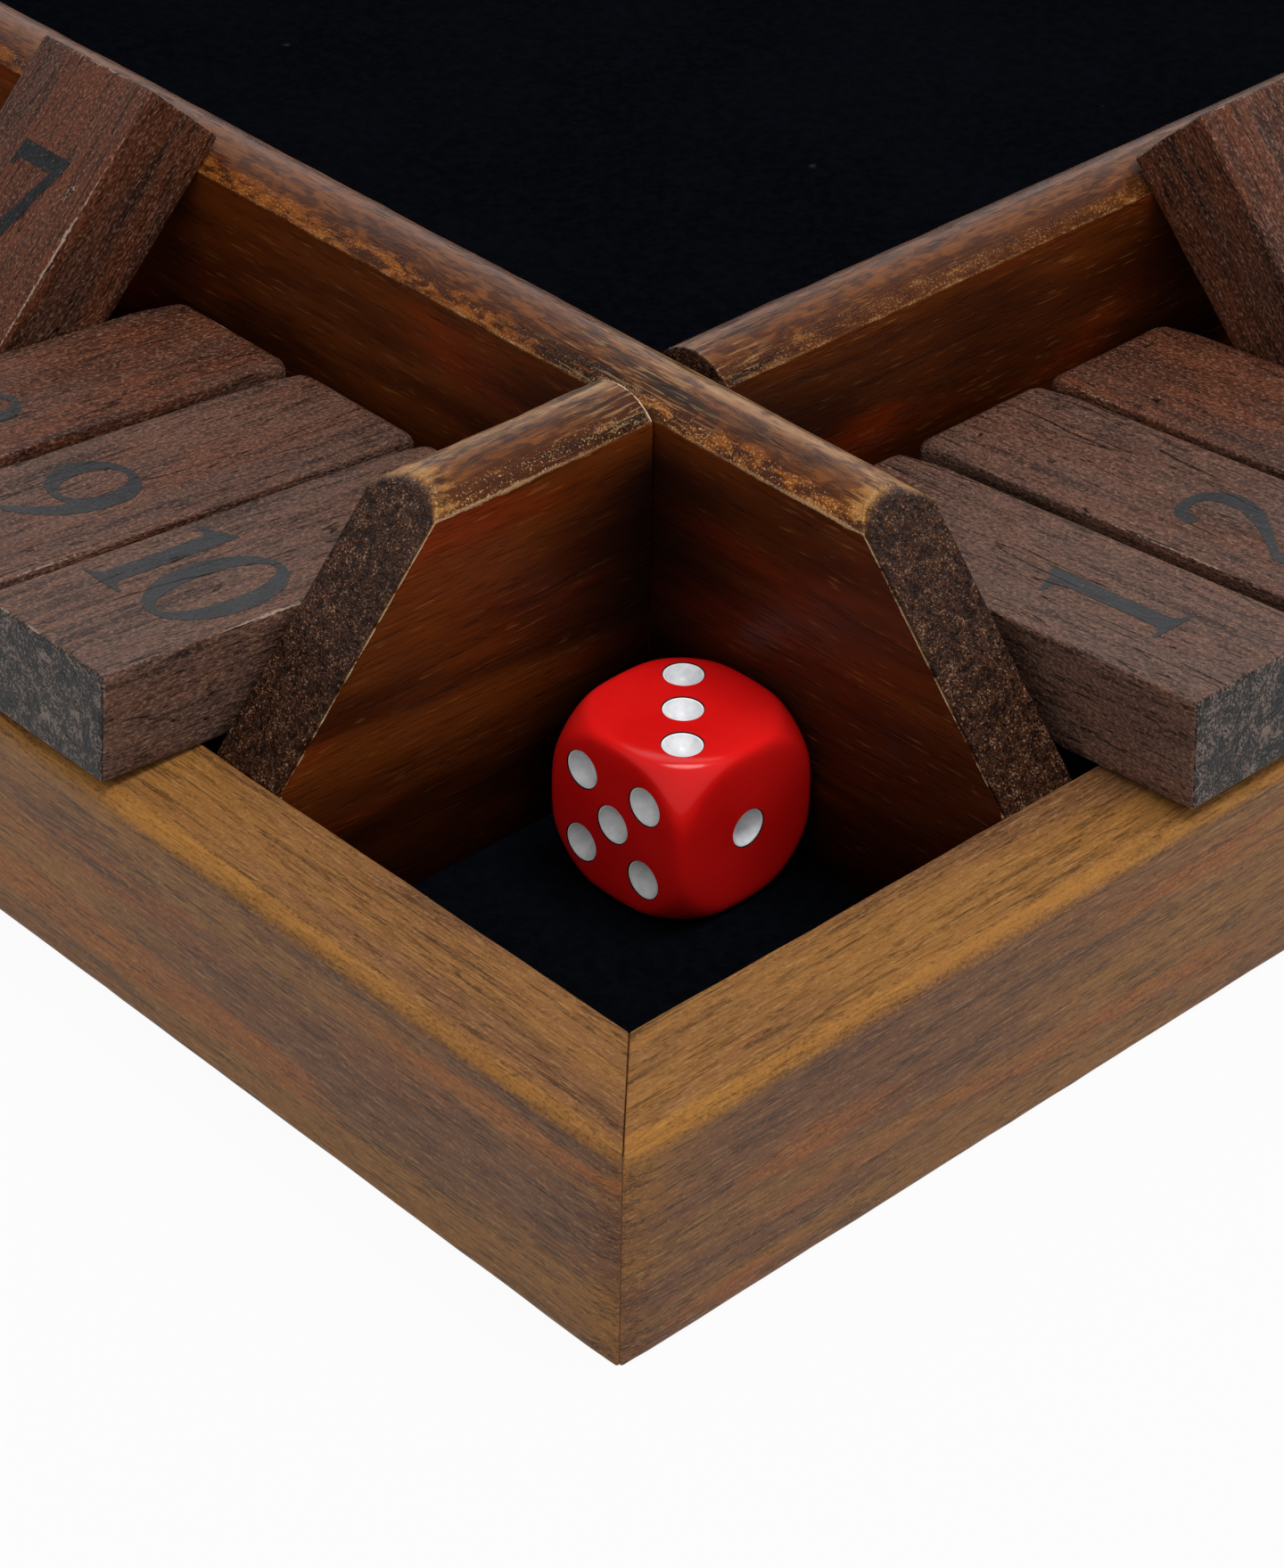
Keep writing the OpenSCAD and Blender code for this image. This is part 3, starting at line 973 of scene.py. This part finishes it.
# Each stroke in shares of the numeral's height: a ring has its centre, radii and half
# widths; a pen has points with half widths; a shape is an outline.
strokes = {
    "0": [("ring", (0, .5), (.235, .47), .075, .028)],
    "1": [("shape", [(-.17, 0), (.17, 0), (.17, .026), (.1, .04), (.068, .09), (.068, 1), (.03, 1),
                     (-.06, .94), (-.2, .885), (-.2, .86), (-.11, .865), (-.068, .83),
                     (-.068, .09), (-.1, .04), (-.17, .026)])],
    "2": [("pen", [(-.215, .76, .034), (-.165, .885, .047), (-.03, .958, .04),
                   (.11, .915, .052), (.18, .78, .07), (.15, .6, .062), (.03, .4, .044),
                   (-.12, .215, .03), (-.235, .07, .03)]),
          ("pen", [(-.245, .05, .034), (-.1, .068, .052), (.08, .052, .052), (.2, .062, .046),
                   (.262, .165, .012)])],
    "3": [("pen", [(-.205, .8, .026), (-.145, .915, .036), (-.01, .966, .032),
                   (.115, .91, .052), (.155, .79, .066), (.105, .66, .05), (-.03, .575, .022)]),
          ("pen", [(-.05, .565, .02), (.1, .54, .04), (.19, .42, .066), (.195, .25, .076),
                   (.115, .09, .055), (-.04, .032, .032), (-.185, .06, .034),
                   (-.235, .125, .04)])],
    "4": [("shape", [(-.03, 0), (.255, 0), (.255, .022), (.2, .035), (.178, .08), (.178, 1),
                     (.11, 1), (.045, .9), (.045, .08), (.025, .035), (-.03, .022)]),
          ("shape", [(-.315, .235), (.285, .235), (.285, .31), (-.315, .31)]),
          ("shape", [(-.315, .25), (-.235, .31), (.12, .93), (.11, 1), (-.315, .305)])],
    "5": [("shape", [(-.155, .985), (-.19, .56), (-.165, .6), (-.13, .875), (.19, .875),
                     (.245, 1), (.235, 1.02), (.2, .985)]),
          ("pen", [(-.19, .575, .012), (-.1, .62, .028), (.03, .63, .044), (.16, .54, .066),
                   (.205, .37, .078), (.15, .16, .062), (.01, .045, .036), (-.14, .045, .034),
                   (-.225, .125, .042)])],
    "6": [("ring", (.012, .3), (.222, .272), .074, .027),
          ("pen", [(-.212, .3, .072), (-.205, .47, .07), (-.15, .65, .062),
                   (-.04, .82, .046), (.1, .94, .028), (.215, .99, .012)])],
    "7": [("shape", [(-.235, .8), (-.21, .8), (-.175, .855), (-.1, .865), (.235, .865),
                     (.27, .99), (.235, .995), (-.215, .995)]),
          ("pen", [(.215, .93, .036), (.12, .69, .044), (.02, .43, .056),
                   (-.05, .2, .068), (-.075, 0, .076)])],
    "8": [("ring", (0, .755), (.158, .217), .056, .026),
          ("ring", (0, .27), (.2, .243), .07, .027)],
    "9": [("ring", (-.012, .7), (.222, .272), .074, .027),
          ("pen", [(.212, .7, .072), (.205, .53, .07), (.15, .35, .062), (.04, .18, .046),
                   (-.1, .06, .028), (-.215, .01, .012)])],
}


def slab(left, right, closed):
    # a solid from pairs of outline points: strips between the two loops, low and high
    count = len(left)
    solid = bmesh.new()
    rows = [[solid.verts.new((p[0], p[1], z)) for p in loop]
            for z in (-numeral["sink"], numeral["lift"]) for loop in (left, right)]
    for i in range(count if closed else count - 1):
        j = (i + 1) % count
        solid.faces.new((rows[0][i], rows[0][j], rows[1][j], rows[1][i]))
        solid.faces.new((rows[2][i], rows[3][i], rows[3][j], rows[2][j]))
        solid.faces.new((rows[0][i], rows[2][i], rows[2][j], rows[0][j]))
        solid.faces.new((rows[1][i], rows[1][j], rows[3][j], rows[3][i]))
    if not closed:
        for i in (0, count - 1):
            solid.faces.new((rows[0][i], rows[1][i], rows[3][i], rows[2][i]))
    return solid


def ringSolid(centre, radii, side, top, size):
    steps = numeral["ringSteps"]
    turn = [2 * math.pi * k / steps for k in range(steps)]
    loops = [[((centre[0] + (radii[0] + s * side) * math.cos(a)) * size,
               (centre[1] + (radii[1] + s * top) * math.sin(a)) * size) for a in turn]
             for s in (1, -1)]
    return slab(*loops, True)


def penSolid(points, size):
    knots = [Vector(p) for p in points]
    knots = [2 * knots[0] - knots[1]] + knots + [2 * knots[-1] - knots[-2]]
    line = []
    for i in range(1, len(knots) - 2):
        a, b, c, d = knots[i - 1:i + 3]
        for k in range(numeral["penSteps"]):
            t = k / numeral["penSteps"]
            line.append(0.5 * (2 * b + (c - a) * t + (2 * a - 5 * b + 4 * c - d) * t ** 2
                               + (3 * b - a - 3 * c + d) * t ** 3))
    line.append(knots[-2])
    left, right = [], []
    for i, point in enumerate(line):
        way = line[min(i + 1, len(line) - 1)] - line[max(i - 1, 0)]
        side = Vector((-way.y, way.x)).normalized() * point.z
        left.append(((point.x + side.x) * size, (point.y + side.y) * size))
        right.append(((point.x - side.x) * size, (point.y - side.y) * size))
    return slab(left, right, False)


def shapeSolid(points, size):
    solid = bmesh.new()
    low, high = [[solid.verts.new((x * size, y * size, z)) for x, y in points]
                 for z in (-numeral["sink"], numeral["lift"])]
    solid.faces.new(low)
    solid.faces.new(high)
    for i in range(len(low)):
        j = (i + 1) % len(low)
        solid.faces.new((low[i], low[j], high[j], high[i]))
    return solid


def strokeMesh(kind, *values):
    make = {"ring": ringSolid, "pen": penSolid, "shape": shapeSolid}[kind]
    return solidMesh("stroke", make(*values, numeral["height"]))


def combineSolids(base, others, operation):
    # applies one boolean for each of the others and returns the result as a plain mesh
    holder = addObject("cutting", base)
    helpers = []
    for other in others:
        helpers.append(addObject("cutter", other))
        step = holder.modifiers.new("cut", "BOOLEAN")
        step.object = helpers[-1]
        step.operation = operation
        step.solver = "EXACT"
        step.material_mode = "TRANSFER"
    graph = bpy.context.evaluated_depsgraph_get()
    result = bpy.data.meshes.new_from_object(holder.evaluated_get(graph))
    for used in [holder] + helpers:
        bpy.data.objects.remove(used)
    return result


def inkFinish():
    look = Finish("numeralInk")
    turned, streak, speck, gape = tileGrain(look)
    mottle = look.grain(turned, 0.5, 0.9, 4, 0.6)
    colour = layColours(
        numeral["ink"], numeral,
        (mottle.between(0.35, 0.65), "faded"),
        (speck.between(0.50, 0.36) * 0.5, "ink"),
        (speck.between(0.58, 0.76) * 0.25, "fleck"),
        (gape * 0.9, "crack"))
    return look.give(Base_Color=colour, Roughness=0.40 + (speck - 0.5) * 0.3,
                     Specular_IOR_Level=0.5, Normal=look.bump(mottle * 0.4 + speck - gape, 0.00010))


def numeralMesh(name, glyphs):
    text = name.split("_")[2]
    joined = bmesh.new()
    for face in (1, -1):
        flip = spin(0 if face == 1 else 180, "X")
        # the foot of the numeral is away from the hinge on top, near it beneath
        foot = numeral["centre"] - face * numeral["height"] / 2
        for at, digit in enumerate(text):
            shift = numeral["ten"][at] if len(text) == 2 else numeral["nudge"].get(text, 0)
            copy = glyphs[digit].copy()
            copy.transform(Matrix.Translation((tile["width"] / 2 + shift, foot,
                                               face * tile["thickness"] / 2)) @ flip)
            joined.from_mesh(copy)
            bpy.data.meshes.remove(copy)
    return solidMesh(name + "_ink", joined)


def buildNumerals():
    look = inkFinish()
    glyphs = {}
    for digit, parts in strokes.items():
        solids = [strokeMesh(*part) for part in parts]
        glyphs[digit] = combineSolids(solids[0], solids[1:], "UNION") if solids[1:] else solids[0]
    for number, (name, place) in enumerate(sorted(tilePlaces.items())):
        mesh = numeralMesh(name, glyphs)
        markMesh(mesh, tileNumbers(name, number))
        mesh.transform(place @ Matrix.Scale(mm, 4))
        finishMesh(mesh, name, look, False)


buildNumerals()
print("numerals are laid")

dice = {
    "side": 16.0,
    "ball": 22.6,
    "edgePower": 20,         # higher keeps the edges sharper
    "ballPower": 38,
    "cuts": 39,
    "pipOffset": 3.7,
    "pipRadius": 1.62,
    "pipDepth": 1.1,
    "pipPower": 2.6,         # higher gives a flatter dish
    "pipSink": 0.12,
    "pipAround": 36,
    "pipRows": 7,
    "lip": 0.12,
    "lipHeight": 0.03,
    "lipWall": 0.01,
    "rim": 0.09,
    "rimDepth": 0.10,
    "rimWall": 0.02,
    "cutterTop": 0.6,
    "sharpFrom": 24,         # degrees
    "red": paint(218, 18, 18),
    "brightRed": paint(232, 26, 24),
    "places": {"die_1": ((-106.8, -111.1, 13.0), 0.8), "die_2": ((106.8, 111.1, 13.0), 180.0)},
}
# the name, two tones and roughness of the pips' dish, lip and rim; the lip's whiter paint is a
# painted highlight, the dish's greyer tone painted shade, and the rim's dark red painted shade
pipLooks = [("pipWhite", paint(244, 244, 246), paint(222, 224, 228), 0.12),
            ("pipLip", paint(255, 255, 255), paint(246, 246, 248), 0.2),
            ("pipRimShade", paint(40, 3, 4), paint(24, 2, 3), 0.4)]
pips = {  # for each face its turns about x and y, and its pips
    (0, 0): [(0, 0), (-1, -1), (1, 1)],
    (180, 0): [(-1, -1), (-1, 1), (1, -1), (1, 1)],
    (90, 0): [(0, 0)],
    (-90, 0): [(-1, -1), (-1, 1), (1, -1), (1, 1), (-1, 0), (1, 0)],
    (0, -90): [(0, 0), (-1, -1), (-1, 1), (1, -1), (1, 1)],
    (0, 90): [(-1, 1), (1, -1)],
}


def redPlastic():
    look = Finish("dieRed")
    place = look.place()
    cloud = look.grain(place, 0.12, 0.12, 3, 0.5)
    graze = look.grain(place, 0.9, 9.0, 3, 0.6)
    colour = blendColour(cloud.between(0.3, 0.7), dice["red"], dice["brightRed"])
    return look.give(Base_Color=colour, Roughness=0.15 + graze.between(0.55, 0.8) * 0.12,
                     Specular_IOR_Level=0.5, Subsurface_Weight=0.08, Subsurface_Scale=0.002,
                     Normal=look.bump(cloud + graze * 0.1, 0.00003))


def pipPaint(name, light, dark, roughness):
    look = Finish(name)
    cloud = look.grain(look.place(), 0.8, 0.8, 3, 0.6)
    colour = blendColour(cloud.between(0.35, 0.7), light, dark)
    return look.give(Base_Color=colour, Roughness=roughness + cloud * 0.1,
                     Normal=look.bump(cloud, 0.00005))


def dieBody():
    # a finely divided cube, pulled to a rounded cube that a ball trims at the corners
    solid = bmesh.new()
    bmesh.ops.create_cube(solid, size=2)
    bmesh.ops.subdivide_edges(solid, edges=solid.edges[:], cuts=dice["cuts"], use_grid_fill=True)
    half, ball = dice["side"] / 2, dice["ball"] / 2
    power, blend = dice["edgePower"], dice["ballPower"]
    for vert in solid.verts:
        way = Vector([math.sin(c * math.pi / 4) / math.sin(math.pi / 4) for c in vert.co])
        way.normalize()
        cube = half / sum(abs(c) ** power for c in way) ** (1 / power)
        vert.co = way * (((cube / half) ** -blend + (ball / half) ** -blend) ** (-1 / blend) * half)
    return solidMesh("dieBody", solid)


def pipCutter():
    # every pip as a lens that is turned from a profile: the dished paint, then a thin rim whose
    # dark red is painted shade
    radius, count, around = dice["pipRadius"], dice["pipRows"], dice["pipAround"]
    lip = radius + dice["lip"]
    rim, deep, top = lip + dice["rim"], -dice["rimDepth"], dice["cutterTop"]
    profile = [(radius * k / count, -dice["pipDepth"] * (1 - (k / count) ** dice["pipPower"]))
               for k in range(count + 1)]
    profile += [(lip, dice["lipHeight"]), (lip + dice["lipWall"], deep), (rim, deep),
                (rim + dice["rimWall"], top), (0, top)]
    solid = bmesh.new()
    for (tip, lean), spots in pips.items():
        turn = spin(tip, "X") @ spin(lean, "Y")
        for x, y in spots:
            place = turn @ Matrix.Translation((x * dice["pipOffset"], y * dice["pipOffset"],
                                               dice["side"] / 2 - dice["pipSink"]))
            rows = [[solid.verts.new(place @ Vector((r * math.cos(2 * math.pi * k / around),
                                                     r * math.sin(2 * math.pi * k / around), z)))
                     for k in range(around if r else 1)] for r, z in profile]
            for i, (low, high) in enumerate(zip(rows, rows[1:])):
                for k in range(around):
                    j = (k + 1) % around
                    corners = [low[k % len(low)], high[k % len(high)], high[j % len(high)],
                               low[j % len(low)]]
                    face = solid.faces.new(list(dict.fromkeys(corners)))
                    face.material_index = 1 if i < count else 2 if i == count else 3
    return solidMesh("pips", solid)


def buildDice():
    looks = [redPlastic()] + [pipPaint(*values) for values in pipLooks]
    body, cutter = dieBody(), pipCutter()
    for mesh in (body, cutter):
        for look in looks:
            mesh.materials.append(look)
    shape = combineSolids(body, [cutter], "DIFFERENCE")
    for number, (name, (place, yaw)) in enumerate(dice["places"].items()):
        mesh = shape.copy()
        mesh.name = name + "_plastic"
        markMesh(mesh, ownNumbers(firstSeed["die"] + number))
        mesh.transform(Matrix.Translation(Vector(place) * mm) @ spin(yaw) @ Matrix.Scale(mm, 4))
        piece = finishMesh(mesh, name)
        mesh.set_sharp_from_angle(angle=math.radians(dice["sharpFrom"]))
        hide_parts(name)


buildDice()
print("dice are cut")

solidColours = {  # colours of the pieces that keep their CAD solids
    "nap": paint(5, 6, 9),
    "napLight": paint(10, 12, 17),
    "napCloud": paint(12, 14, 19),
    "lint": paint(60, 62, 66),
    "board": paint(176, 140, 98),
    "boardLight": paint(198, 164, 120),
    "boardStreak": paint(138, 100, 64),
    "boardPore": paint(96, 66, 40),
    "steel": paint(150, 150, 152),
    "steelLight": paint(188, 188, 188),
}


def solidFinish(name):  # with the place on the solid, in metres
    look = Finish(name)
    return look, look.node("ShaderNodeTexCoord", None, None, "Object")


def feltFinish():
    look, place = solidFinish("blackFelt")
    nap = look.cloud(place, 900.0, 3.0, 0.7)
    cloud = look.cloud(place, 45.0)
    lint = look.cloud(place, 320.0, 1.0)
    colour = layColours(
        solidColours["nap"], solidColours,
        (nap.between(0.3, 0.7), "napLight"),
        (cloud.between(0.35, 0.7) * 0.35, "napCloud"),
        (lint.between(0.80, 0.86) * 0.3, "lint"))
    return look.give(Base_Color=colour, Roughness=1.0, Specular_IOR_Level=0.0,
                     Normal=look.bump(nap + cloud, 0.0002))


def panelFinish():
    look, place = solidFinish("panelBoard")
    place = place.vector("MULTIPLY", (1 / mm,) * 3)
    broad = look.grain(place, 0.006, 0.05, 3, 0.5, 0.8)
    streak = look.grain(place, 0.04, 0.9, 5, 0.6, 0.3)
    pore = look.grain(place, 0.35, 5.0, 2, 0.5)
    colour = layColours(
        solidColours["board"], solidColours,
        (broad.between(0.35, 0.65), "boardLight"),
        (streak.between(0.50, 0.34) * 0.5, "boardStreak"),
        (pore.between(0.40, 0.28) * 0.5, "boardPore"))
    return look.give(Base_Color=colour, Roughness=0.6 + (streak - 0.5) * 0.2,
                     Specular_IOR_Level=0.3, Normal=look.bump(streak + pore, 0.00008))


def rodFinish():
    look, place = solidFinish("rodSteel")
    turned = look.cloud(place, 1500.0)
    stain = look.cloud(place, 60.0)
    colour = blendColour(stain.between(0.3, 0.7), solidColours["steel"], solidColours["steelLight"])
    return look.give(Base_Color=colour, Metallic=1.0, Roughness=0.28 + (turned - 0.5) * 0.2,
                     Normal=look.bump(turned, 0.00002))


def refinish(label, look):
    for name, piece in frame["nodes"].items():
        if name.startswith(label):
            piece.data.materials.clear()
            piece.data.materials.append(look)


refinish("felt", feltFinish())
refinish("base_panel", panelFinish())
refinish("rod_", rodFinish())
print("felt, base panel and rods are finished")
